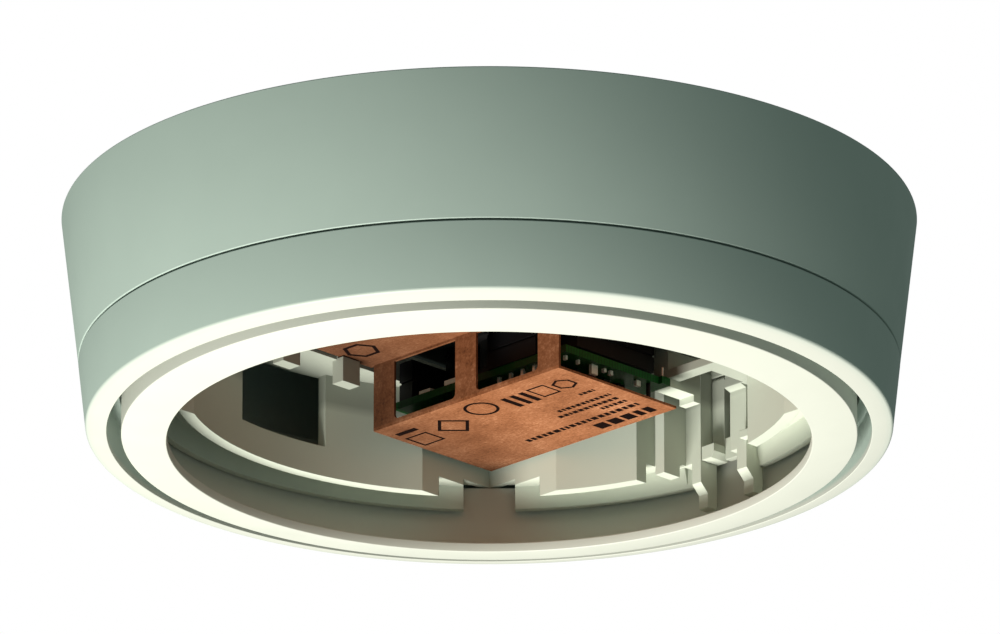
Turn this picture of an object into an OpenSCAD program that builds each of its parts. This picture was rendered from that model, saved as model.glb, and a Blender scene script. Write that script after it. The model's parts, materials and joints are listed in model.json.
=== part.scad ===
// Ceiling smoke detector: round surface-mounted body with an open ring-shaped
// lower face, a square carrier pocket, stepped insulating cover and boards.
// +Z is up, towards the ceiling. The origin is the centre of the ceiling face.
// Heights inside the modules are measured upwards from the head opening.

/* [Housing] */
// Diameter of the upper housing at the ceiling
top_d = 130; // [129.5:0.5:136]
// Depth of the whole body below the ceiling
body_h = 35.8; // [35.8:0.2:40]
// Diameter of both housings at the seam
seam_d = 124.4; // [124:0.2:126]
// Height of the seam above the opening
seam_h = 12.8; // [12.7:0.05:13.1]
// Visible gap at the seam
seam_gap = 0.3; // [0.2:0.05:0.4]
// Diameter of the lower housing at its bottom edge
bottom_d = 122; // [121.6:0.2:123]
// Height of that bottom edge above the opening
bottom_h = 2.27; // [2:0.01:2.6]
// Radius of the rounded bottom edge
edge_r = 0.6; // [0.4:0.1:1.1]
// Wall thickness of the housings
wall = 1.8; // [1.4:0.1:1.9]

/* [Trim ring] */
// Diameter of the head opening
opening_d = 97.54; // [95:0.02:98]
// Outer diameter of the trim ring
trim_d = 111.2; // [110.8:0.1:111.4]
// Height of the ring's outer bottom edge above the opening
trim_rise = 1.1; // [0.6:0.1:1.4]
// Height of the lip around the opening
lip_h = 1.48; // [1.2:0.02:1.8]
// Height of the ring's skirt
skirt_h = 12.5; // [9:0.1:12.5]
// Thickness of the ring's skirt
skirt_t = 1.2; // [0.8:0.1:1.2]
// Diameter of the outer wall of the shadow groove
groove_d = 115.6; // [115:0.1:116]
// Height of the groove's outer edge above the opening
groove_edge_h = 1.55; // [1.3:0.05:1.8]
// Height of the groove's ceiling above the opening
groove_top_h = 8; // [4:0.1:8.2]

/* [Bayonet] */
// Number of bayonet lugs
lugs = 4; // [3, 4, 5, 6]
// Width of a lug, degrees
lug_a = 10; // [6:1:12]
// Width of a ledge, degrees
ledge_a = 12; // [8:1:14]

/* [Carrier] */
// Half width of the square pocket
pocket = 39; // [38.8:0.1:39]
// Wall thickness of the pocket
pocket_t = 1; // [0.8:0.1:1]
// Inner radius of the arc walls
arc_r = 46; // [45.5:0.1:46]
// Thickness of the arc walls
arc_t = 2; // [1:0.1:2]
// Height of the arc walls' lower ends
arc_h = 8.7; // [8.4:0.1:9.2]
// Inner radius of the outer band
band_r = 52.8; // [52.4:0.1:52.8]
// Outer radius of the outer band
band_ro = 53.9; // [53.8:0.1:54]
// Height of the band's lower edge
band_h = 8.4; // [8:0.1:8.8]
// Height of the ledge behind the band
ledge_h = 11.9; // [11.6:0.1:12]
// Half width of the gaps in the band at the pocket's corners
gap_w = 4; // [2:0.1:5]
// Width of the cable window
window_w = 17.6; // [12:0.1:20]
// Height of the cable window's sill
window_h = 13.6; // [13.3:0.1:15]

/* [Insulating cover] */
// Thickness of the sheet
sheet_t = 0.4; // [0.3:0.05:0.5]
// Height of the lower plate
low_plate_h = 15; // [14.6:0.1:15.2]
// Height of the upper plate
high_plate_h = 25.8; // [25.6:0.1:26]
// Position of the step between the plates
step_y = 12.5; // [12.3:0.1:13]
// Right-hand end of the lower plate
step_x = 2.45; // [2.2:0.05:2.7]
// Width of each window in the step
cover_window_w = 13.3; // [10:0.1:13.6]

/* [Boards] */
// Height of the bus board's underside
bus_board_h = 19.4; // [19.2:0.1:19.6]
// Thickness of the bus board
bus_board_t = 1.2; // [1:0.1:1.4]
// Thickness of the main board
main_board_t = 1.6; // [1:0.1:1.6]
// Pitch of the link header's pins
pin_pitch = 2.54; // [2:0.02:2.54]

/* [Fastening] */
// Spacing of the two ceiling screw slots
screw_spacing = 60; // [50:1:64]
// Half width of the ceiling screw slots
slot_r = 2.2; // [1.8:0.1:2.5]
// End-to-end length of the ceiling screw slots
slot_l = 8; // [6:0.5:10]
// Radius of the cable bore in the grommet
cable_r = 4; // [2.5:0.1:4.2]

/* [Hidden] */
$fn = 96;

top_r = top_d / 2;
seam_r = seam_d / 2;
bottom_r = bottom_d / 2;
opening_r = opening_d / 2;
trim_r = trim_d / 2;
groove_r = groove_d / 2;
plate_t = 2.4;
plate_h = body_h - plate_t;
plate_r = 62.4;
roof_top = plate_h - 0.4;
roof_h = roof_top - 1.2;
board_top = roof_h - 0.8;
board_h = board_top - main_board_t;
flange_t = 1.5;
flange_h = plate_h - flange_t;
lintel_h = 25.4;
tower_h = 20.9;
tongue_top = 24.9;
shaft_h = 30.4;
housing_screw_r = 60;
carrier_screw_pos = [[16, 45.5], [-16, 45.5], [16, -45.5], [-16, -45.5]];
board_screw_pos = [[34, 34], [-34, 34], [34, -34], [-34, -34]];
grommet_pos = [-48.8, 1.5];
plug_pos = [26, -26];
button_pos = [-24, -24];
led_pos = [-14, -30];
socket_pos = [0, -8];
window_y = 0.5;
// inner radius of the upper housing at a height
function upper_in(h) = seam_r + (top_r - seam_r) * (h - seam_h) / (body_h - seam_h) - wall;
function lower_out(h) = bottom_r + (seam_r - bottom_r) * (h - bottom_h) / (seam_h - bottom_h);
function unit(v) = v / norm(v);
// centre of a circle of radius r tangent to two edges that meet at c
function edge_centre(c, a, b, r) =
    let (p = unit(a - c), q = unit(b - c), s = unit(p + q), h = acos(p * q) / 2)
    c + s * r / sin(h);
function foot(c, a, o) = let (p = unit(a - c)) c + p * ((o - c) * p);

// shared colours
shell_c = [0.86, 0.88, 0.83];
carrier_c = [0.78, 0.80, 0.72];
sheet_c = [0.72, 0.47, 0.30];
board_c = [0.05, 0.32, 0.12];
black_c = [0.07, 0.07, 0.08];
metal_c = [0.78, 0.77, 0.72];

module from_opening() translate([0, 0, -body_h]) children();
module block(x0, x1, y0, y1, z0, z1)
    translate([x0, y0, z0]) cube([x1 - x0, y1 - y0, z1 - z0]);
module post(p, r, z0, z1)
    translate([p[0], p[1], z0]) cylinder(r = r, h = z1 - z0);

// ---- base -----------------------------------------------------------------
module slot(x) {
    d = slot_l / 2 - slot_r;
    post([x - d, 0], slot_r, plate_h - 1, body_h + 1);
    post([x + d, 0], slot_r, plate_h - 1, body_h + 1);
    block(x - d, x + d, -slot_r, slot_r, plate_h - 1, body_h + 1);
}
module mounting_plate() {
    color([0.80, 0.81, 0.77]) from_opening() difference() {
        union() {
            post([0, 0], plate_r, plate_h, body_h);
            for (p = carrier_screw_pos) post(p, 4.2, roof_top, plate_h + 0.2);
        }
        slot(screw_spacing / 2);
        slot(-screw_spacing / 2);
        post(grommet_pos, 6.6, plate_h - 1, body_h + 1);
        for (p = carrier_screw_pos) post(p, 1.5, roof_top - 1, plate_h + 1.5);
        for (a = [22.5:90:359]) rotate([0, 0, a])
            post([housing_screw_r, 0], 1.25, plate_h - 1, plate_h + 1.5);
    }
}
module cable_grommet() {
    color([0.16, 0.16, 0.17]) from_opening()
        translate([grommet_pos[0], grommet_pos[1], 0]) rotate_extrude()
            polygon([[cable_r, plate_h - 5.2], [5.4, plate_h - 5.2],
                     [5.9, plate_h - 1.6], [8.2, plate_h - 1.6],
                     [8.2, plate_h], [6.6, plate_h], [6.6, body_h],
                     [cable_r, body_h]]);
}
module screw(r, l, hr, hh) {
    // head below, shank pointing up, with a cross recess in the head
    difference() {
        union() {
            cylinder(r = r, h = l);
            translate([0, 0, -hh]) cylinder(r = hr, h = hh);
        }
        translate([-hr * 0.6, -0.3, -hh - 1]) cube([hr * 1.2, 0.6, 1 + hh * 0.6]);
        translate([-0.3, -hr * 0.6, -hh - 1]) cube([0.6, hr * 1.2, 1 + hh * 0.6]);
    }
}
module upper_housing() {
    color(shell_c) from_opening() difference() {
        union() {
            rotate_extrude() polygon([
                [seam_r - wall, seam_h + seam_gap / 2],
                [seam_r, seam_h + seam_gap / 2],
                [top_r, body_h],
                [top_r - wall, body_h],
                [upper_in(plate_h), plate_h],
                [57.6, plate_h], [57.6, flange_h],
                [upper_in(flange_h), flange_h]]);
            for (i = [0:lugs - 1]) rotate([0, 0, 45 + i * 360 / lugs - ledge_a / 2])
                rotate_extrude(angle = ledge_a) polygon([
                    [58.8, seam_h + 1.2], [upper_in(seam_h + 1.2) + 0.6, seam_h + 1.2],
                    [upper_in(seam_h + 2.7) + 0.6, seam_h + 2.7], [58.8, seam_h + 2.7]]);
        }
        for (a = [22.5:90:359]) rotate([0, 0, a])
            post([housing_screw_r, 0], 1.4, flange_h - 1, plate_h + 1);
    }
}
module housing_screws() {
    color(metal_c) from_opening()
        for (a = [22.5:90:359]) rotate([0, 0, a])
            translate([housing_screw_r, 0, flange_h]) screw(1.25, flange_t + 1.5, 2.1, 1.4);
}

// ---- carrier --------------------------------------------------------------
module leg(x0, x1) {
    // a snap leg with a 45 degree lead-in on its inner face
    translate([x1, 0, 0]) rotate([0, -90, 0]) linear_extrude(x1 - x0)
        polygon([[3.76, 51.05], [6, 51.05], [7.5, 49.55], [tower_h, 49.55],
                 [tower_h, 53.05], [3.76, 53.05]]);
}
module carrier_shell() {
    difference() {
        union() {
            // square tube closed by a roof
            block(-pocket - pocket_t, pocket + pocket_t, -pocket - pocket_t,
                  pocket + pocket_t, ledge_h + 0.9, roof_top);
            // drum that carries the arc walls
            post([0, 0], arc_r + arc_t, arc_h, lintel_h + 1.2);
            // ledge and outer band
            difference() {
                post([0, 0], band_ro, band_h, ledge_h + 1.2);
                translate([0, 0, band_h - 1]) cylinder(
                    h = ledge_h - band_h + 1, r1 = band_r + 0.2, r2 = band_r - 0.7);
            }
            // box around the latch tower
            block(-13.2, 12.3, pocket + 0.5, 53.2, ledge_h + 1, shaft_h + 1.2);
            // screw ears
            for (p = carrier_screw_pos) {
                post(p, 4.2, roof_top - 2.4, roof_top);
                block(p[0] - 4.2, p[0] + 4.2, min(p[1], sign(p[1]) * (pocket + 0.5)),
                      max(p[1], sign(p[1]) * (pocket + 0.5)), roof_top - 2.4, roof_top);
            }
        }
        block(-pocket, pocket, -pocket, pocket, 0, roof_h);
        post([0, 0], arc_r, 0, lintel_h);
        // gaps in the band and ledge at the corners of the pocket
        for (a = [45:90:359]) rotate([0, 0, a])
            block(48, 60, -gap_w, gap_w, 0, ledge_h + 0.9);
        // cable window
        block(-56, -arc_r + 3, window_y - window_w / 2, window_y + window_w / 2,
              window_h, lintel_h);
        block(-56, -arc_r - 0.6, window_y - window_w / 2 - 2, window_y + window_w / 2 + 2,
              window_h - 0.3, lintel_h);
        // recess for the latch tower, wider in front
        block(-12.2, 11.3, pocket, 48.3, 0, lintel_h);
        block(-12.2, 11.3, pocket + pocket_t, 48.3, lintel_h - 1, shaft_h);
        block(-8.7, 6, pocket, 52, 0, ledge_h + 2);
        block(-8.7, 11.3, pocket + pocket_t, 52, ledge_h + 1.2, shaft_h);
        block(-6.5, 6, pocket, 60, 0, ledge_h + 1);
        // slot for the spring tongue and slit beside it
        block(-3.45, -0.55, 51, 54, 0, tongue_top + 0.15);
        block(-1, 2.85, 51, 54, 0, 22.9);
        for (p = carrier_screw_pos) post(p, 1.7, roof_top - 4, roof_top + 1);
    }
}
module carrier() {
    color(carrier_c) from_opening() difference() {
        union() {
            carrier_shell();
            // ceiling of the recess, with an opening above the latch
            difference() {
                union() {
                    intersection() {
                        post([0, 0], arc_r + 0.4, tower_h, tower_h + 1.4);
                        block(-3.2, 26, pocket, 50, tower_h, tower_h + 1.4);
                    }
                    block(-3.2, 11.5, pocket, 52.2, tower_h, tower_h + 1.4);
                }
                block(-0.1, 6.8, 41.4, 48.3, tower_h - 1, tower_h + 2);
                block(-4, 2.85, 44.8, 53, tower_h - 1, tower_h + 2);
            }
            // bar with a hooked end at the left edge of that opening
            block(-3.2, -0.1, pocket, 44.8, 19.6, lintel_h + 0.2);
            block(-3.2, -0.1, 44.6, 46, 18.5, lintel_h + 0.2);
            // rib at the left edge of the recess
            block(-8.6, -6.7, 44.8, 48.2, arc_h, lintel_h + 0.2);
            block(-9, -6.7, 48, 50, 10.9, lintel_h + 0.2);
            // cheeks, legs and back wall of the latch tower
            block(-7.35, -3.45, 49.55, 53.2, 10.9, lintel_h + 0.2);
            leg(-5.35, -3.45);
            block(2.85, 6.3, 49.55, 53.2, 10.9, tower_h + 0.2);
            leg(4.25, 6.3);
            translate([6.3, 0, 0]) rotate([0, -90, 0]) linear_extrude(3.45)
                polygon([[tower_h + 0.2, 48.3], [tower_h, 48.3], [tower_h - 0.5, 49.75],
                         [tower_h + 0.2, 49.75]]);
            block(-0.55, 2.95, 52, 53.2, 11, 14.5);
            // snap hooks that hold the insulating cover
            for (y = [-5.2, 7.6]) {
                block(-pocket - 0.9, -pocket + 0.2, y - 1.8, y + 1.8, 21.6, lintel_h + 1);
                block(-pocket, -pocket + 1.4, y - 1.8, y + 1.8, 21.6, high_plate_h - 0.2);
                block(pocket - 0.2, pocket + 0.9, -y - 1.8, -y + 1.8, 21.6, lintel_h + 1);
                block(pocket - 1.4, pocket, -y - 1.8, -y + 1.8, 21.6, high_plate_h - 0.2);
            }
            // posts for the main board
            for (p = board_screw_pos) post(p, 2.8, board_top, roof_h + 0.2);
        }
        for (p = board_screw_pos) post(p, 1.1, board_top - 1, roof_h + 0.8);
    }
}
module carrier_screws() {
    color(metal_c) from_opening()
        for (p = carrier_screw_pos) translate([p[0], p[1], roof_top - 2.4])
            screw(1.5, 2.4 + plate_h + 1.5 - roof_top, 2.8, 1.8);
}
module head_latch() {
    // spring tongue of the latch tower, with a nose chamfered on one side
    color(carrier_c) from_opening() {
        block(-3.3, -0.7, 52, 53.2, 12, tongue_top - 0.6);
        translate([-3.3, 52.6, tongue_top - 0.6]) rotate([0, 90, 0])
            cylinder(r = 0.6, h = 2.6);
        translate([0, 53.2, 0]) rotate([90, 0, 0]) linear_extrude(3.6)
            polygon([[-3.3, 11], [-1.3, 11], [-0.7, 12], [-0.7, 13.2], [-3.3, 13.2]]);
    }
}

// ---- lower housing and trim ring -------------------------------------------
module lower_housing() {
    corner = [bottom_r, bottom_h];
    a = [groove_r, groove_edge_h];
    b = [seam_r, seam_h];
    o = edge_centre(corner, a, b, edge_r);
    top = seam_h - seam_gap / 2;
    slot_h = groove_top_h + 1.5;
    color(shell_c) from_opening() {
        rotate_extrude() union() {
            polygon([a, foot(corner, a, o), o, foot(corner, b, o),
                     [lower_out(top), top], [lower_out(top) - wall, top],
                     [lower_out(slot_h) - wall, slot_h], [58.4, slot_h], [58.4, seam_h + 6.2],
                     [57, seam_h + 6.2], [57, seam_h - 0.3], [56, seam_h - 0.3],
                     [56, groove_top_h], [groove_r, groove_top_h]]);
            translate(o) circle(r = edge_r);
        }
        for (i = [0:lugs - 1]) rotate([0, 0, 45 + i * 360 / lugs - lug_a / 2])
            rotate_extrude(angle = lug_a) polygon([
                [58, seam_h + 3], [60.2, seam_h + 3],
                [60.2, seam_h + 4.5], [58, seam_h + 4.5]]);
    }
}
module trim_ring() {
    color(shell_c) from_opening() rotate_extrude()
        polygon([[opening_r, 0], [trim_r, trim_rise], [trim_r, skirt_h],
                 [trim_r - skirt_t, skirt_h], [trim_r - skirt_t, lip_h + 1.2],
                 [opening_r - 0.15, lip_h]]);
}

// ---- insulating cover -------------------------------------------------------
module cover_window(x) {
    z0 = low_plate_h + sheet_t + 0.5;
    z1 = high_plate_h - 0.4;
    block(x, x + cover_window_w, step_y - 1, step_y + 1, z0 + 0.8, z1);
    block(x + 0.8, x + cover_window_w - 0.8, step_y - 1, step_y + 1, z0, z1);
    for (c = [x + 0.8, x + cover_window_w - 0.8])
        translate([c, step_y + 1, z0 + 0.8]) rotate([90, 0, 0]) cylinder(r = 0.8, h = 2);
}
module insulating_cover() {
    x0 = -pocket + 1.3;
    strip = (step_x - x0 - 2 * cover_window_w) / 3;
    color(sheet_c) from_opening() difference() {
        union() {
            block(x0, step_x, step_y, pocket - 0.9, low_plate_h, low_plate_h + sheet_t);
            block(x0, step_x, step_y, step_y + sheet_t, low_plate_h, high_plate_h + sheet_t);
            block(-pocket + 0.4, pocket - 0.4, -pocket + 0.4, step_y + sheet_t,
                  high_plate_h, high_plate_h + sheet_t);
            block(step_x, pocket - 0.4, step_y, pocket - 0.4,
                  high_plate_h, high_plate_h + sheet_t);
        }
        cover_window(x0 + strip);
        cover_window(x0 + 2 * strip + cover_window_w);
        // clearance holes for what hangs from the main board
        block(plug_pos[0] - 6.2, plug_pos[0] + 6.2, plug_pos[1] - 5.3, plug_pos[1] + 5.3,
              high_plate_h - 1, high_plate_h + 2);
        post(button_pos, 2.4, high_plate_h - 1, high_plate_h + 2);
        post(led_pos, 1.8, high_plate_h - 1, high_plate_h + 2);
        block(socket_pos[0] - 8.3, socket_pos[0] + 8.3, socket_pos[1] - 3.3,
              socket_pos[1] + 3.3, high_plate_h - 1, high_plate_h + 2);
    }
}

// ---- boards and what they carry ----------------------------------------------
module main_board() {
    color(board_c) from_opening() difference() {
        block(-37.5, 37.5, -37.5, 37.5, board_h, board_top);
        for (p = board_screw_pos) post(p, 1.3, board_h - 1, board_top + 1);
    }
}
module board_screws() {
    color(metal_c) from_opening()
        for (p = board_screw_pos) translate([p[0], p[1], board_h])
            screw(1.1, roof_h + 0.8 - board_h, 2.1, 1.2);
}
module each_pin() for (i = [0:3]) translate([-15.4 + i * pin_pitch, 17.6, 0]) children();
module bus_board() {
    color(board_c) from_opening() difference() {
        union() {
            block(-37.2, -0.15, 16.6, 37.6, bus_board_h, bus_board_h + bus_board_t);
            block(-6, 0.5, 37, 38.8, bus_board_h, bus_board_h + bus_board_t);
        }
        each_pin() block(-0.25, 0.25, -0.25, 0.25, bus_board_h - 1, bus_board_h + 3);
    }
}
module link_header() {
    color(black_c) from_opening()
        difference() {
            block(-16.8, -6.4, 16.4, 18.9, bus_board_h + bus_board_t, board_h);
            for (z = [bus_board_h + bus_board_t + 2.8, board_h - 3])
                block(-17, -6.2, 16, 16.7, z, z + 0.4);
        }
}
module header_pins() {
    color(metal_c) from_opening() each_pin()
        block(-0.25, 0.25, -0.25, 0.25, bus_board_h - 1.3, bus_board_h + bus_board_t);
}
module relay() {
    color(black_c) from_opening() difference() {
        block(-14.5, -1.2, 20.2, 37, bus_board_h + bus_board_t + 0.9, board_h);
        block(-1.5, -0.5, 19, 38, bus_board_h + bus_board_t + 3.4, bus_board_h + bus_board_t + 3.7);
    }
}
module capacitors() {
    z0 = bus_board_h + bus_board_t + 0.6;
    color([0.16, 0.17, 0.19]) from_opening()
        for (p = [[-30, 26], [-20.4, 32.4]]) difference() {
            post(p, 3.9, z0, board_h);
            // pressed groove near the can's rim and scored end
            translate([p[0], p[1], board_h - 1.9]) rotate_extrude()
                polygon([[3.6, 0], [4.2, -0.3], [4.2, 0.9], [3.6, 0.6]]);
            block(p[0] - 3, p[0] + 3, p[1] - 0.1, p[1] + 0.1, z0 - 1, z0 + 0.15);
        }
}
module choke() {
    z0 = bus_board_h + bus_board_t + 1;
    color([0.22, 0.20, 0.19]) from_opening() translate([-21, 23.2, 0]) rotate_extrude()
        polygon([[0, z0], [3.8, z0], [3.8, z0 + 1.2], [3, z0 + 1.6],
                 [3, board_h - 1.6], [3.8, board_h - 1.2], [3.8, board_h], [0, board_h]]);
}
module bus_board_chips() {
    // pale surface-mounted parts on both faces of the bus board
    z = bus_board_h;
    color([0.88, 0.88, 0.82]) from_opening() {
        for (p = [[-1.5, 17.9, 0.4, 0.7], [-1.5, 20.6, 0.35, 0.7], [-1.4, 23.9, 1.3, 1.6],
                  [-1.4, 26.2, 0.5, 0.6], [-1.4, 27.6, 0.6, 0.7], [-1.5, 33.6, 0.9, 0.9]])
            block(p[0] - 0.3, p[0] + 0.3, p[1] - p[2] / 2, p[1] + p[2] / 2, z - p[3], z);
        for (p = [[-31.6, 18.3], [-25.6, 17.8]])
            block(p[0] - 1.2, p[0] + 1.2, p[1] - 0.8, p[1] + 0.8,
                  z + bus_board_t, z + bus_board_t + 1);
    }
}
module bus_board_parts() {
    // dark surface-mounted parts under the bus board
    z = bus_board_h;
    color(black_c) from_opening() {
        block(-30, -24, 22, 28, z - 1.2, z);
        block(-20, -15, 24, 28, z - 1, z);
        block(-11, -8, 22, 27, z - 1.1, z);
        for (i = [0:4]) block(-6.2, -4.4, 19.6 + i * 3.2, 21 + i * 3.2, z - 0.9, z);
    }
}
module support_post() {
    color(black_c) from_opening() {
        post([-1.2, 35.7], 0.35, low_plate_h + sheet_t, bus_board_h);
        post([-29, 35.7], 0.35, low_plate_h + sheet_t, bus_board_h);
        post([-29, 18.5], 0.35, low_plate_h + sheet_t, bus_board_h);
    }
}
module ground_pin() {
    z = bus_board_h + bus_board_t;
    color(metal_c) from_opening() {
        post([-0.4, 38], 0.2, z, z + 1.8);
        post([-4.5, 38], 0.2, z, z + 1.8);
    }
}
module bus_socket() {
    color(black_c) from_opening() difference() {
        block(plug_pos[0] - 5.9, plug_pos[0] + 5.9, plug_pos[1] - 5, plug_pos[1] + 5,
              high_plate_h + 0.6, board_h);
        for (x = [-4.2, -1.6, 1.6, 4.2]) post(plug_pos + [x, 0], 0.5, 25, board_h + 1);
    }
}
module bus_socket_pins() {
    color(metal_c) from_opening()
        for (x = [-4.2, -1.6, 1.6, 4.2]) post(plug_pos + [x, 0], 0.5, 18.8, board_h);
}
module plug_half(s) {
    x0 = s > 0 ? 0 : -5.7;
    difference() {
        translate([plug_pos[0], plug_pos[1], 0]) difference() {
            block(x0, x0 + 5.7, -4.8, 4.8, 14.2, 25.9);
            // two rows of wire entries and a grip groove on the end face
            for (x = [1.6, 4.2], y = [-2.9, 2.9]) post([s * x, y], 0.9, 13, 19.5);
            block(s > 0 ? 5.3 : -6, s > 0 ? 6 : -5.3, -3, 3, 17, 19);
        }
        for (x = [1.6, 4.2]) post(plug_pos + [s * x, 0], 0.6, 18, 27);
    }
}
module bus_plug_red() color([0.62, 0.10, 0.08]) from_opening() plug_half(-1);
module bus_plug_dark() color([0.20, 0.20, 0.21]) from_opening() plug_half(1);
module button_switch() {
    color(black_c) from_opening() difference() {
        block(button_pos[0] - 3, button_pos[0] + 3, button_pos[1] - 3, button_pos[1] + 3,
              high_plate_h + 0.6, board_h);
        post(button_pos, 1.75, 25, 28.4);
    }
}
module button_plunger() {
    color([0.75, 0.20, 0.12]) from_opening() {
        post(button_pos, 1.7, 24.6, 27.8);
    }
}
module status_led() {
    color([0.80, 0.12, 0.10]) from_opening() translate([led_pos[0], led_pos[1], 0]) {
        translate([0, 0, 26.2]) sphere(r = 1.5);
        translate([0, 0, 26.2]) cylinder(r = 1.5, h = board_h - 26.2);
        translate([0, 0, board_h - 1]) cylinder(r = 1.9, h = 1);
    }
}
module head_socket() {
    color(black_c) from_opening() difference() {
        block(socket_pos[0] - 8, socket_pos[0] + 8, socket_pos[1] - 3, socket_pos[1] + 3,
              23.2, board_h);
        for (i = [0:4], y = [-1.27, 1.27])
            block(socket_pos[0] - 5.4 + i * 2.54, socket_pos[0] - 4.76 + i * 2.54,
                  socket_pos[1] + y - 0.32, socket_pos[1] + y + 0.32, 22, 28);
    }
}
module head_contacts() {
    color([0.80, 0.66, 0.32]) from_opening()
        for (i = [0:4], y = [-1.27, 1.27])
            block(socket_pos[0] - 5.4 + i * 2.54, socket_pos[0] - 4.76 + i * 2.54,
                  socket_pos[1] + y - 0.32, socket_pos[1] + y + 0.32, 24.2, 28);
}
module controller_chip() {
    color(black_c) from_opening() difference() {
        block(12, 22, -6, 4, board_h - 1.5, board_h);
        post([13.4, -4.6], 0.5, board_h - 2, board_h - 1.4);
    }
}
module main_board_parts() {
    color([0.42, 0.34, 0.26]) from_opening()
        for (p = [[-30, -6, 2.4, 1.4], [-26, -6, 1.2, 2], [-22, 4, 3, 1.6], [-12, 6, 1.6, 3],
                  [26, 6, 2, 3.2], [30, 0, 1.4, 2.4], [8, 8, 2.4, 1.4], [-6, -22, 3.2, 2.4],
                  [10, -24, 2, 2], [-32, -14, 1.6, 3], [20, 12, 3.2, 1.6], [6, -18, 1.2, 2.4],
                  [26, 24, 4, 4], [14, 24, 2.4, 3.2], [30, 32, 1.6, 2.4]])
            block(p[0] - p[2] / 2, p[0] + p[2] / 2, p[1] - p[3] / 2, p[1] + p[3] / 2,
                  board_h - 1.2, board_h);
}
module power_module() {
    // moulded supply module at the left end of the bus board, and its underside block
    z = bus_board_h + bus_board_t;
    color(black_c) from_opening() {
        difference() {
            block(-37, -34.2, 17.4, 37.2, z, z + 6.6);
            block(-37.5, -33.8, 16.8, 17.8, z + 3, z + 3.4);
        }
        block(-36.8, -31, 20, 34.6, low_plate_h + sheet_t + 0.6, bus_board_h);
    }
}

mounting_plate();
cable_grommet();
upper_housing();
housing_screws();
carrier();
carrier_screws();
lower_housing();
trim_ring();
head_latch();
insulating_cover();
main_board();
board_screws();
bus_board();
link_header();
header_pins();
relay();
capacitors();
choke();
bus_board_chips();
bus_board_parts();
support_post();
ground_pin();
bus_socket();
bus_socket_pins();
bus_plug_red();
bus_plug_dark();
button_switch();
button_plunger();
status_led();
head_socket();
head_contacts();
controller_chip();
main_board_parts();
power_module();
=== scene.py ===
import json
import math
import bpy
import bmesh
from mathutils import Vector, Matrix


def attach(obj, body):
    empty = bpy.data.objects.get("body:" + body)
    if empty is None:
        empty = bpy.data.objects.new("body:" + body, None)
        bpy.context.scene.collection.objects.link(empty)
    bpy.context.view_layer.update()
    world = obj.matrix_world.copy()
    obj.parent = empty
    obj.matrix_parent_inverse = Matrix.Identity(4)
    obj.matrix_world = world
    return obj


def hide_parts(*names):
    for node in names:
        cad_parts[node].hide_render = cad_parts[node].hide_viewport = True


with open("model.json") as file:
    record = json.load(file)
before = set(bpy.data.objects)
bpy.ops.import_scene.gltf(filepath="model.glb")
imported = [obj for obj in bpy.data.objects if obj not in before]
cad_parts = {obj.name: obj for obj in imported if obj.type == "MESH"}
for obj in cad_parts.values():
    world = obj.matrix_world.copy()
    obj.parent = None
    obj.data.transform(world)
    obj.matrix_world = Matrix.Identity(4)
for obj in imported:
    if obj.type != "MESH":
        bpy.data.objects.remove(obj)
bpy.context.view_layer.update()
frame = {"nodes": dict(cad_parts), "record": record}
N = frame["nodes"]
BODIES = frame["record"]["behaviour"]["bodies"]
BODY_OF = {n: b for b, ns in BODIES.items() for n in ns}
SLOT_OF = {s["node"]: s["material_slot"] for s in frame["record"]["subparts"]}
MM = 0.001
FILL_R, FILL_L = 0.19, 0.24
H = 35.8  # height of the body: heights below are above the head opening, in mm


def P(x, y, z):
    """A point from mm above the opening plane to metres in the row frame."""
    return Vector((x * MM, y * MM, (z - H) * MM))


# ------------------------------------------------------------------ camera
OPEN = P(0, 0, 0)
ELEV = math.radians(19.916)
DIST = 40 * 48.77 * MM
FPX = 12919.2
right = Vector((1, 1, 0)).normalized()
back = Vector((math.cos(ELEV) * math.sin(math.radians(45)),
               -math.cos(ELEV) * math.cos(math.radians(45)), -math.sin(ELEV)))
up = right.cross(-back)
aim = (-back + right * (10.73 / FPX) + up * (127.59 / FPX)).normalized()
cam_data = bpy.data.cameras.new("camera")
cam_data.sensor_width = 36
cam_data.lens = FPX * 36 / 1000
cam_data.clip_start, cam_data.clip_end = 0.05, 60
cam = bpy.data.objects.new("camera", cam_data)
bpy.context.scene.collection.objects.link(cam)
cam.location = OPEN + back * DIST
cam.rotation_mode = "QUATERNION"
z_axis, x_axis = -aim, right
y_axis = z_axis.cross(x_axis).normalized()
x_axis = y_axis.cross(z_axis).normalized()
cam.rotation_quaternion = Matrix((x_axis, y_axis, z_axis)).transposed().to_quaternion()
bpy.context.scene.camera = cam
bpy.context.scene.view_settings.view_transform = "Standard"


# ------------------------------------------------------------------ materials
def new_material(name):
    m = bpy.data.materials.new(name)
    m.use_nodes = True
    nt = m.node_tree
    nt.nodes.clear()
    out = nt.nodes.new("ShaderNodeOutputMaterial")
    bsdf = nt.nodes.new("ShaderNodeBsdfPrincipled")
    nt.links.new(bsdf.outputs["BSDF"], out.inputs["Surface"])
    coord = nt.nodes.new("ShaderNodeTexCoord")
    return m, nt, bsdf, coord


def noise(nt, coord, scale, detail=4, rough=0.55, stretch=(1, 1, 1)):
    n = nt.nodes.new("ShaderNodeTexNoise")
    n.inputs["Scale"].default_value = scale
    n.inputs["Detail"].default_value = detail
    n.inputs["Roughness"].default_value = rough
    if stretch != (1, 1, 1):
        mp = nt.nodes.new("ShaderNodeMapping")
        mp.inputs["Scale"].default_value = stretch
        nt.links.new(coord.outputs["Object"], mp.inputs["Vector"])
        nt.links.new(mp.outputs["Vector"], n.inputs["Vector"])
    else:
        nt.links.new(coord.outputs["Object"], n.inputs["Vector"])
    return n.outputs["Fac"]


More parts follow.
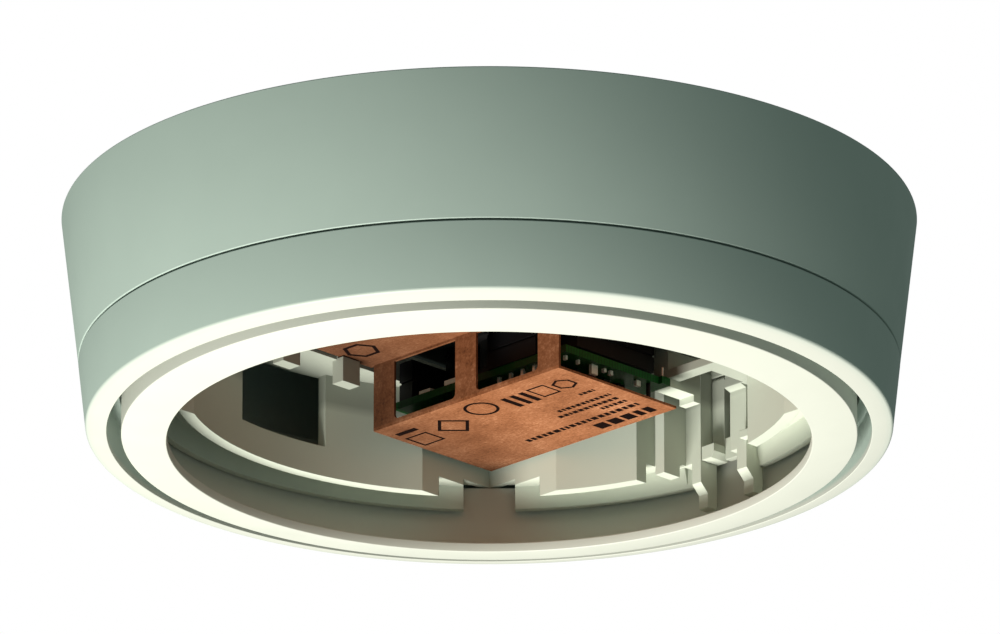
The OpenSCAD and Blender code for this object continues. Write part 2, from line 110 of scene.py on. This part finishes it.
def ramp(nt, fac, stops):
    r = nt.nodes.new("ShaderNodeValToRGB")
    e = r.color_ramp.elements
    while len(e) > 1:
        e.remove(e[-1])
    e[0].position, e[0].color = stops[0][0], (*stops[0][1], 1)
    for p, c in stops[1:]:
        el = e.new(p)
        el.color = (*c, 1)
    nt.links.new(fac, r.inputs["Fac"])
    return r.outputs["Color"]


def spread(nt, fac, lo, hi, a=0.3, b=0.7):
    r = nt.nodes.new("ShaderNodeMapRange")
    r.inputs["From Min"].default_value, r.inputs["From Max"].default_value = a, b
    r.inputs["To Min"].default_value, r.inputs["To Max"].default_value = lo, hi
    nt.links.new(fac, r.inputs["Value"])
    return r.outputs["Result"]


def bump(nt, bsdf, heights, edge=0.0):
    """Chains bump nodes: (socket, strength, distance) each. edge rounds the edges."""
    last = None
    if edge:
        soft = nt.nodes.new("ShaderNodeBevel")
        soft.samples = 4
        soft.inputs["Radius"].default_value = edge
        last = soft.outputs["Normal"]
    for h, strength, dist in heights:
        b = nt.nodes.new("ShaderNodeBump")
        b.inputs["Strength"].default_value = strength
        b.inputs["Distance"].default_value = dist
        nt.links.new(h, b.inputs["Height"])
        if last is not None:
            nt.links.new(last, b.inputs["Normal"])
        last = b.outputs["Normal"]
    nt.links.new(last, bsdf.inputs["Normal"])


def mul(c, k):
    return tuple(min(1, x * k) for x in c)


def srgb(r, g, b):
    def f(v):
        v /= 255
        return v / 12.92 if v <= 0.04045 else ((v + 0.055) / 1.055) ** 2.4
    return (f(r), f(g), f(b))


def painted_shading_ramp(nt, coord, color, a, b, ka, kb, axis="Z"):
    """Paints light or shade: scales a colour by ka at a, fading to kb at b, along one axis of the part.
    """
    sep = nt.nodes.new("ShaderNodeSeparateXYZ")
    nt.links.new(coord.outputs["Object"], sep.inputs[0])
    mr = nt.nodes.new("ShaderNodeMapRange")
    mr.inputs["From Min"].default_value, mr.inputs["From Max"].default_value = a, b
    mr.inputs["To Min"].default_value, mr.inputs["To Max"].default_value = ka, kb
    nt.links.new(sep.outputs[axis], mr.inputs["Value"])
    sc = nt.nodes.new("ShaderNodeVectorMath")
    sc.operation = "SCALE"
    nt.links.new(color, sc.inputs[0])
    nt.links.new(mr.outputs["Result"], sc.inputs["Scale"])
    return sc.outputs["Vector"]


def plastic(name, base, rough=0.5, vary=0.035, grain=9000, grain_strength=0.12,
            spec=0.4, tint=None, coat=0.0, edge=0.0, rim=None, painted_depth_shade=None):
    """Moulded plastic: cloudy colour, spark-eroded grain, uneven gloss; optionally painted light on the
    bottom rim and painted shade deep inside.
    """
    m, nt, bsdf, coord = new_material(name)
    tint = tint or base
    cloud = noise(nt, coord, 45, 5, 0.6)
    c = ramp(nt, cloud, [(0.28, mul(base, 1 - vary)), (0.5, base), (0.72, mul(tint, 1 + vary))])
    if rim:
        # painted light: the bottom rim is painted paler and warmer than the flank, standing in for the
        # strong light from below
        sep = nt.nodes.new("ShaderNodeSeparateXYZ")
        nt.links.new(coord.outputs["Object"], sep.inputs[0])
        mr = nt.nodes.new("ShaderNodeMapRange")
        mr.inputs["From Min"].default_value = (2.0 - H) / 1000
        mr.inputs["From Max"].default_value = (2.7 - H) / 1000
        mr.inputs["To Min"].default_value, mr.inputs["To Max"].default_value = 1, 0
        nt.links.new(sep.outputs["Z"], mr.inputs["Value"])
        mix = nt.nodes.new("ShaderNodeMix")
        mix.data_type = "RGBA"
        nt.links.new(mr.outputs["Result"], mix.inputs[0])
        nt.links.new(c, mix.inputs[6])
        mix.inputs[7].default_value = (*rim, 1)
        c = mix.outputs[2]
    if painted_depth_shade:
        # painted shade: darker where the moulding lies deep inside the body, standing in for the shade
        # that falls there
        c = painted_shading_ramp(nt, coord, c, (19.6 - H) / 1000, (21.2 - H) / 1000, 1.0, painted_depth_shade)
    nt.links.new(c, bsdf.inputs["Base Color"])
    nt.links.new(spread(nt, noise(nt, coord, 160, 3), rough - 0.05, rough + 0.06),
                 bsdf.inputs["Roughness"])
    bsdf.inputs["Specular IOR Level"].default_value = spec
    bsdf.inputs["Coat Weight"].default_value = coat
    fine = noise(nt, coord, grain, 2, 0.5)
    broad = noise(nt, coord, 70, 2, 0.5)
    bump(nt, bsdf, [(broad, 0.05, 0.0004), (fine, grain_strength, 0.00003)], edge)
    return m


def metal(name, base, rough=0.3, stretch=(1, 1, 12), vary=0.12):
    m, nt, bsdf, coord = new_material(name)
    bsdf.inputs["Metallic"].default_value = 1.0
    f = noise(nt, coord, 900, 4, 0.6, stretch)
    nt.links.new(ramp(nt, f, [(0.3, mul(base, 1 - vary)), (0.7, mul(base, 1 + vary))]),
                 bsdf.inputs["Base Color"])
    nt.links.new(spread(nt, f, rough - 0.08, rough + 0.12), bsdf.inputs["Roughness"])
    bump(nt, bsdf, [(f, 0.15, 0.00002)])
    return m


def pressboard(name):
    """Mottled brown insulating board: broad clouds, fine specks and short fibres, with painted shade on
    its raised part and towards its left end.
    """
    m, nt, bsdf, coord = new_material(name)
    cloud = noise(nt, coord, 150, 4, 0.6)
    speck = noise(nt, coord, 2300, 5, 0.75)
    fibre = noise(nt, coord, 900, 3, 0.7, (1, 5, 1))

    def scaled(sock, k, add=None):
        n = nt.nodes.new("ShaderNodeMath")
        n.operation = "MULTIPLY_ADD"
        n.inputs[1].default_value = k
        n.inputs[2].default_value = 0
        nt.links.new(sock, n.inputs[0])
        if add is not None:
            nt.links.new(add, n.inputs[2])
        return n.outputs[0]

    total = scaled(speck, 0.42, scaled(fibre, 0.25, scaled(cloud, 0.33)))
    c = ramp(nt, total, [(0.36, srgb(92, 50, 27)), (0.45, srgb(128, 77, 46)),
                         (0.53, srgb(146, 92, 60)), (0.63, srgb(178, 124, 90))])
    # painted shade: the board is painted darker above its lower plate (the raised part) and towards its
    # left end, a little lighter at the right end, standing in for light falloff
    c = painted_shading_ramp(nt, coord, c, (15.42 - H) / 1000, (15.6 - H) / 1000, 1.0, 0.72)
    c = painted_shading_ramp(nt, coord, c, -0.036, -0.018, 0.50, 1.06, "X")
    nt.links.new(c, bsdf.inputs["Base Color"])
    nt.links.new(spread(nt, cloud, 0.66, 0.84), bsdf.inputs["Roughness"])
    bsdf.inputs["Specular IOR Level"].default_value = 0.2
    bump(nt, bsdf, [(speck, 0.3, 0.00004), (fibre, 0.2, 0.00002)])
    return m


def board_mat(name):
    """Green solder mask with a faint weave and darker track shadows."""
    m, nt, bsdf, coord = new_material(name)
    w = nt.nodes.new("ShaderNodeTexBrick")
    w.inputs["Scale"].default_value = 420
    w.inputs["Mortar Size"].default_value = 0.03
    w.inputs["Color1"].default_value = (*srgb(0, 88, 26), 1)
    w.inputs["Color2"].default_value = (*srgb(0, 78, 22), 1)
    w.inputs["Mortar"].default_value = (*srgb(0, 58, 16), 1)
    nt.links.new(coord.outputs["Object"], w.inputs["Vector"])
    nt.links.new(w.outputs["Color"], bsdf.inputs["Base Color"])
    f = noise(nt, coord, 220, 3)
    nt.links.new(spread(nt, f, 0.4, 0.55), bsdf.inputs["Roughness"])
    bsdf.inputs["Specular IOR Level"].default_value = 0.2
    bsdf.inputs["Coat Weight"].default_value = 0.05
    bump(nt, bsdf, [(w.outputs["Fac"], 0.2, 0.00002), (f, 0.1, 0.00003)])
    return m


def glassy(name, base):
    m, nt, bsdf, coord = new_material(name)
    f = noise(nt, coord, 300, 2)
    nt.links.new(ramp(nt, f, [(0.3, mul(base, 0.85)), (0.7, base)]), bsdf.inputs["Base Color"])
    nt.links.new(spread(nt, f, 0.06, 0.16), bsdf.inputs["Roughness"])
    bsdf.inputs["Transmission Weight"].default_value = 0.6
    bsdf.inputs["IOR"].default_value = 1.5
    bump(nt, bsdf, [(f, 0.05, 0.00003)])
    return m


SHELL = (0.395, 0.475, 0.43)
MAT = {
    "housing": plastic("housing", SHELL, 0.52, 0.02, 7000, 0.10),
    # painted light: the lower housing's bottom rim is painted paler and warmer, standing in for the
    # light from below
    "housing_lower": plastic("housing_lower", SHELL, 0.50, 0.02, 7000, 0.10,
                             rim=(0.54, 0.545, 0.495)),
    "trim": plastic("trim", (0.575, 0.58, 0.522), 0.46, 0.02, 7000, 0.08),
    "housing_inner": plastic("housing_inner", mul(SHELL, 0.98), 0.55, 0.04, 5000, 0.15),
    # painted shade: the carrier is painted darker where it lies deep inside the body
    "carrier": plastic("carrier", (0.585, 0.62, 0.532), 0.42, 0.03, 6000, 0.10, edge=0.00016,
                       painted_depth_shade=0.58),
    "rubber_black": plastic("rubber_black", (0.02, 0.02, 0.021), 0.75, 0.15, 4000, 0.3, 0.3),
    "black_plastic": plastic("black_plastic", (0.006, 0.006, 0.007), 0.5, 0.15, 5000, 0.2, 0.2,
                             edge=0.0001),
    "board_black": plastic("board_black", (0.006, 0.009, 0.008), 0.45, 0.2, 3000, 0.15, 0.25),
    "chip_dark": plastic("chip_dark", (0.007, 0.007, 0.008), 0.55, 0.2, 6000, 0.3, 0.25, edge=0.0001),
    "ferrite": plastic("ferrite", (0.016, 0.015, 0.015), 0.6, 0.2, 3000, 0.5, 0.4, edge=0.0001),
    "chip_pale": plastic("chip_pale", (0.80, 0.82, 0.76), 0.35, 0.05, 4000, 0.1, 0.5, edge=0.00008),
    "chip_brown": plastic("chip_brown", (0.25, 0.17, 0.11), 0.4, 0.1, 4000, 0.1, 0.5, edge=0.00008),
    "plug_red": plastic("plug_red", (0.32, 0.018, 0.014), 0.34, 0.08, 5000, 0.08, 0.5, edge=0.00016),
    "plug_dark": plastic("plug_dark", (0.035, 0.035, 0.038), 0.36, 0.1, 5000, 0.08, 0.5,
                         edge=0.00016),
    "button_red": plastic("button_red", (0.42, 0.035, 0.02), 0.34, 0.06, 5000, 0.06, 0.5,
                          edge=0.00012),
    "steel": metal("steel", (0.62, 0.62, 0.60), 0.32),
    "tin": metal("tin", (0.92, 0.92, 0.90), 0.45),
    "can_dark": metal("can_dark", (0.035, 0.038, 0.042), 0.35),
    "gold_contacts": metal("gold_contacts", (0.78, 0.52, 0.2), 0.24),
    "insulating_sheet": pressboard("insulating_sheet"),
    "board_green": board_mat("board_green"),
    "led_red": glassy("led_red", (0.7, 0.03, 0.02)),
}
INK = plastic("print_ink", (0.006, 0.002, 0.0015), 0.9, 0.2, 6000, 0.3, 0.05)


def dress(obj, mat):
    obj.data.materials.clear()
    obj.data.materials.append(mat)


for name, o in N.items():
    dress(o, MAT[SLOT_OF[name]])


# ------------------------------------------------------------------ pieces
def make(name, verts, faces, mat, body, slot, angle=35, flat=False):
    me = bpy.data.meshes.new(name)
    me.from_pydata([tuple(v) for v in verts], [], faces)
    bm = bmesh.new()
    bm.from_mesh(me)
    bmesh.ops.recalc_face_normals(bm, faces=bm.faces)
    bm.to_mesh(me)
    bm.free()
    me.validate()
    if not flat:
        me.shade_smooth()
        me.set_sharp_from_angle(angle=math.radians(angle))
    o = bpy.data.objects.new(name, me)
    bpy.context.scene.collection.objects.link(o)
    dress(o, mat)
    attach(o, body)
    return o


def rounded(pts, radii, steps=5):
    """Rounds the corners of a closed outline of (x, y) points."""
    out = []
    n = len(pts)
    for i in range(n):
        c = Vector(pts[i])
        a, b = Vector(pts[i - 1]), Vector(pts[(i + 1) % n])
        r = radii[i] if isinstance(radii, (list, tuple)) else radii
        ea, eb = a - c, b - c
        la, lb = ea.length, eb.length
        ea.normalize()
        eb.normalize()
        half = math.acos(max(-1, min(1, ea.dot(eb)))) / 2
        if r <= 0 or half > math.radians(88):
            out.append(tuple(c))
            continue
        t = min(r / math.tan(half), 0.45 * la, 0.45 * lb)
        r = t * math.tan(half)
        o = c + (ea + eb).normalized() * (r / math.sin(half))
        p, q = (c + ea * t) - o, (c + eb * t) - o
        ang = math.acos(max(-1, min(1, p.dot(q) / (p.length * q.length))))
        for k in range(steps + 1):
            f = k / steps
            if ang < 1e-6:
                v = p.lerp(q, f)
            else:
                v = p * (math.sin((1 - f) * ang) / math.sin(ang)) + q * (
                    math.sin(f * ang) / math.sin(ang))
            out.append(tuple(o + v))
    return out


def lathe_mesh(pts, start=0.0, sweep=360.0, seg=360):
    """Turns a closed (radius, height) outline about the Z axis."""
    full = sweep >= 360
    n = len(pts)
    rings = seg if full else seg + 1
    verts, faces = [], []
    for i in range(rings):
        a = math.radians(start + sweep * i / seg)
        for r, z in pts:
            verts.append(P(r * math.cos(a), r * math.sin(a), z))
    for i in range(seg):
        j = (i + 1) % rings
        for k in range(n):
            m = (k + 1) % n
            faces.append((i * n + k, i * n + m, j * n + m, j * n + k))
    if not full:
        faces.append(tuple(range(n)))
        faces.append(tuple(seg * n + k for k in range(n - 1, -1, -1)))
    return verts, faces


def joined(parts):
    verts, faces = [], []
    for v, f in parts:
        k = len(verts)
        verts += v
        faces += [tuple(i + k for i in face) for face in f]
    return verts, faces


def box_mesh(x0, x1, y0, y1, z0, z1, r=0.0):
    """A block with chamfered upright edges and a small chamfer all round."""
    r = min(r, (x1 - x0) * 0.3, (y1 - y0) * 0.3, (z1 - z0) * 0.3)
    bm = bmesh.new()
    bmesh.ops.create_cube(bm, size=1)
    for v in bm.verts:
        v.co = P(x0 if v.co.x < 0 else x1, y0 if v.co.y < 0 else y1, z0 if v.co.z < 0 else z1)
    if r > 0:
        bmesh.ops.bevel(bm, geom=list(bm.edges), offset=r * MM, segments=2, profile=0.5,
                        affect="EDGES")
    bm.verts.ensure_lookup_table()
    verts = [v.co.copy() for v in bm.verts]
    faces = [tuple(v.index for v in f.verts) for f in bm.faces]
    bm.free()
    return verts, faces


# housings and ring, turned finely with small rounded edges
def slope(r0, z0, r1, z1, z):
    return r0 + (r1 - r0) * (z - z0) / (z1 - z0)


up_in = lambda z: slope(62.2, 12.8, 65, 35.8, z) - 1.8
low_out = lambda z: slope(61, 2.27, 62.2, 12.8, z)
upper = [lathe_mesh(rounded(
    [(60.4, 12.95), (62.2, 12.95), (65, 35.8), (63.2, 35.8), (up_in(33.4), 33.4),
     (57.6, 33.4), (57.6, 31.9), (up_in(31.9), 31.9)],
    [0.1, 0.16, 0.2, 0.1, 0, 0.1, 0.2, 0.3]))]
for a in range(45, 360, 90):
    upper.append(lathe_mesh([(58.8, 14), (up_in(14) + 0.6, 14), (up_in(15.5) + 0.6, 15.5),
                             (58.8, 15.5)], a - 6, 12, 24))
o = make("upper_housing_shell", *joined(upper), MAT["housing"], "base", "housing")
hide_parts("upper_housing")

lower = [lathe_mesh(rounded(
    [(57.8, 1.55), (61, 2.27), (low_out(12.65), 12.65), (low_out(12.65) - 1.8, 12.65),
     (low_out(9.5) - 1.8, 9.5), (58.4, 9.5), (58.4, 19), (57, 19), (57, 12.5), (56, 12.5),
     (56, 8), (57.8, 8)],
    [0.12, 0.6, 0.16, 0.1, 0.2, 0.2, 0.1, 0.1, 0.1, 0.1, 0.15, 0.3], 8))]
for a in range(45, 360, 90):
    lower.append(lathe_mesh([(58, 15.8), (60.2, 15.8), (60.2, 17.3), (58, 17.3)], a - 5, 10, 24))
o = make("lower_housing_shell", *joined(lower), MAT["housing_lower"], "cover", "housing_lower")
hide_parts("lower_housing")

o = make("trim_ring_shell", *lathe_mesh(rounded(
    [(48.77, 0), (55.6, 1.1), (55.6, 12.5), (54.4, 12.5), (54.4, 2.68), (48.62, 1.48)],
    [0.16, 0.18, 0.1, 0.1, 0.5, 0.2], 6)), MAT["trim"], "ring", "trim")
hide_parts("trim_ring")


# ------------------------------------------------------------------ printed marks
def ink(name, outline, z, thick=0.02):
    """A thin printed patch: (u, v) outline in mm just under the height z."""
    n = len(outline)
    verts = [P(x, y, z) for x, y in outline] + [P(x, y, z - thick) for x, y in outline]
    faces = [tuple(range(n)), tuple(range(2 * n - 1, n - 1, -1))]
    faces += [(i, (i + 1) % n, n + (i + 1) % n, n + i) for i in range(n)]
    return verts, faces


def rect(x0, x1, y0, y1):
    return [(x0, y0), (x1, y0), (x1, y1), (x0, y1)]


def loop_strokes(pts, w):
    """A closed line of width w through pts, as one quad per side."""
    out = []
    n = len(pts)
    c = Vector((sum(p[0] for p in pts) / n, sum(p[1] for p in pts) / n))
    for i in range(n):
        a, b = Vector(pts[i]), Vector(pts[(i + 1) % n])
        ia, ib = a + (c - a).normalized() * w, b + (c - b).normalized() * w
        out.append([tuple(a), tuple(b), tuple(ib), tuple(ia)])
    return out


def ring_pts(x, y, r, n=24, start=0):
    return [(x + r * math.cos(math.radians(start + 360 * k / n)),
             y + r * math.sin(math.radians(start + 360 * k / n))) for k in range(n)]


LOW = 15.0
marks = []
marks.append(rect(-36.3, -32.1, 15.7, 16.8))
marks += loop_strokes(rect(-36.6, -32.1, 18.2, 22.6), 0.55)
marks += loop_strokes(ring_pts(-27.1, 19.3, 3.4, 4, 0), 0.75)
marks += loop_strokes(ring_pts(-18.7, 17.0, 2.8, 28), 0.5)
for k in range(3):
    marks.append(rect(-13.9 + k * 1.9, -12.9 + k * 1.9, 16.2, 20.6))
marks += loop_strokes(rect(-8.2, -4.6, 16.0, 20.2), 0.5)
marks += loop_strokes(ring_pts(-2.0, 18.2, 2.1, 6, 30), 0.5)


def dashes(x0, x1, v, h, step, seed):
    """A row of short bars of uneven length, standing for a line of print."""
    out, x, k = [], x0, seed
    while x < x1 - 0.3:
        k = (k * 37 + 11) % 101
        w = step * (0.45 + 0.5 * (k / 101))
        out.append(rect(x, min(x + w, x1), v - h / 2, v + h / 2))
        x += w + step * 0.28
    return out


for v, x0, x1, h, step, seed in ((23.2, -3.7, -0.6, 0.8, 0.9, 3), (26.3, -11.3, -0.2, 0.9, 1.0, 9),
                                 (28.2, -13.0, -0.3, 0.9, 1.0, 21), (30.0, -5.7, -0.2, 0.9, 1.0, 33),
                                 (32.3, -24.0, -0.1, 1.1, 1.3, 47), (35.4, -11.9, 0.0, 2.2, 2.4, 5)):
    marks += dashes(x0, x1, v, h, step, seed)
o = make("printed_marks_low", *joined([ink("m", m, LOW - 0.004) for m in marks]), INK, "base",
         "insulating_sheet", flat=True)
HIGH = 25.8
marks = loop_strokes(ring_pts(-34.2, 6.4, 3.0, 6, 0), 0.7)
make("printed_marks_high", *joined([ink("m", m, HIGH - 0.004) for m in marks]), INK, "base",
     "insulating_sheet", flat=True)

# ------------------------------------------------------------------ light
world = bpy.data.worlds.new("studio")
bpy.context.scene.world = world
world.use_nodes = True
wn = world.node_tree
wn.nodes.clear()
wo = wn.nodes.new("ShaderNodeOutputWorld")
seen = wn.nodes.new("ShaderNodeBackground")
seen.inputs["Color"].default_value = (1, 1, 1, 1)
seen.inputs["Strength"].default_value = 1.0
fill = wn.nodes.new("ShaderNodeBackground")
fill.inputs["Color"].default_value = (0.80, 1.0, 0.92, 1)
where = wn.nodes.new("ShaderNodeTexCoord")
side = wn.nodes.new("ShaderNodeVectorMath")
side.operation = "DOT_PRODUCT"
side.inputs[1].default_value = (-right.x, -right.y, 0)
wn.links.new(where.outputs["Generated"], side.inputs[0])
level = wn.nodes.new("ShaderNodeMapRange")
level.inputs["From Min"].default_value, level.inputs["From Max"].default_value = -1, 1
level.inputs["To Min"].default_value, level.inputs["To Max"].default_value = FILL_R, FILL_L
wn.links.new(side.outputs["Value"], level.inputs["Value"])
wn.links.new(level.outputs["Result"], fill.inputs["Strength"])
path = wn.nodes.new("ShaderNodeLightPath")
mixer = wn.nodes.new("ShaderNodeMixShader")
wn.links.new(path.outputs["Is Camera Ray"], mixer.inputs["Fac"])
wn.links.new(fill.outputs[0], mixer.inputs[1])
wn.links.new(seen.outputs[0], mixer.inputs[2])
wn.links.new(mixer.outputs[0], wo.inputs["Surface"])


def area(name, loc, target, size, power, color):
    d = bpy.data.lights.new(name, "AREA")
    d.shape = "DISK"
    d.size = size
    d.energy = power
    d.color = color
    o = bpy.data.objects.new(name, d)
    bpy.context.scene.collection.objects.link(o)
    o.location = loc
    o.rotation_mode = "QUATERNION"
    o.rotation_quaternion = (Vector(target) - Vector(loc)).to_track_quat("-Z", "Y")
    return o


CENTRE = Vector((0, 0, -0.018))
# view-aligned helpers: to the right, towards the camera, up
R, T, U = right, Vector((math.sin(math.radians(45)), -math.cos(math.radians(45)), 0)), Vector((0, 0, 1))
area("below", CENTRE + U * -1.2 + T * 0.26 - R * 0.45, CENTRE, 0.68, 33.5, (1.0, 0.985, 0.91))
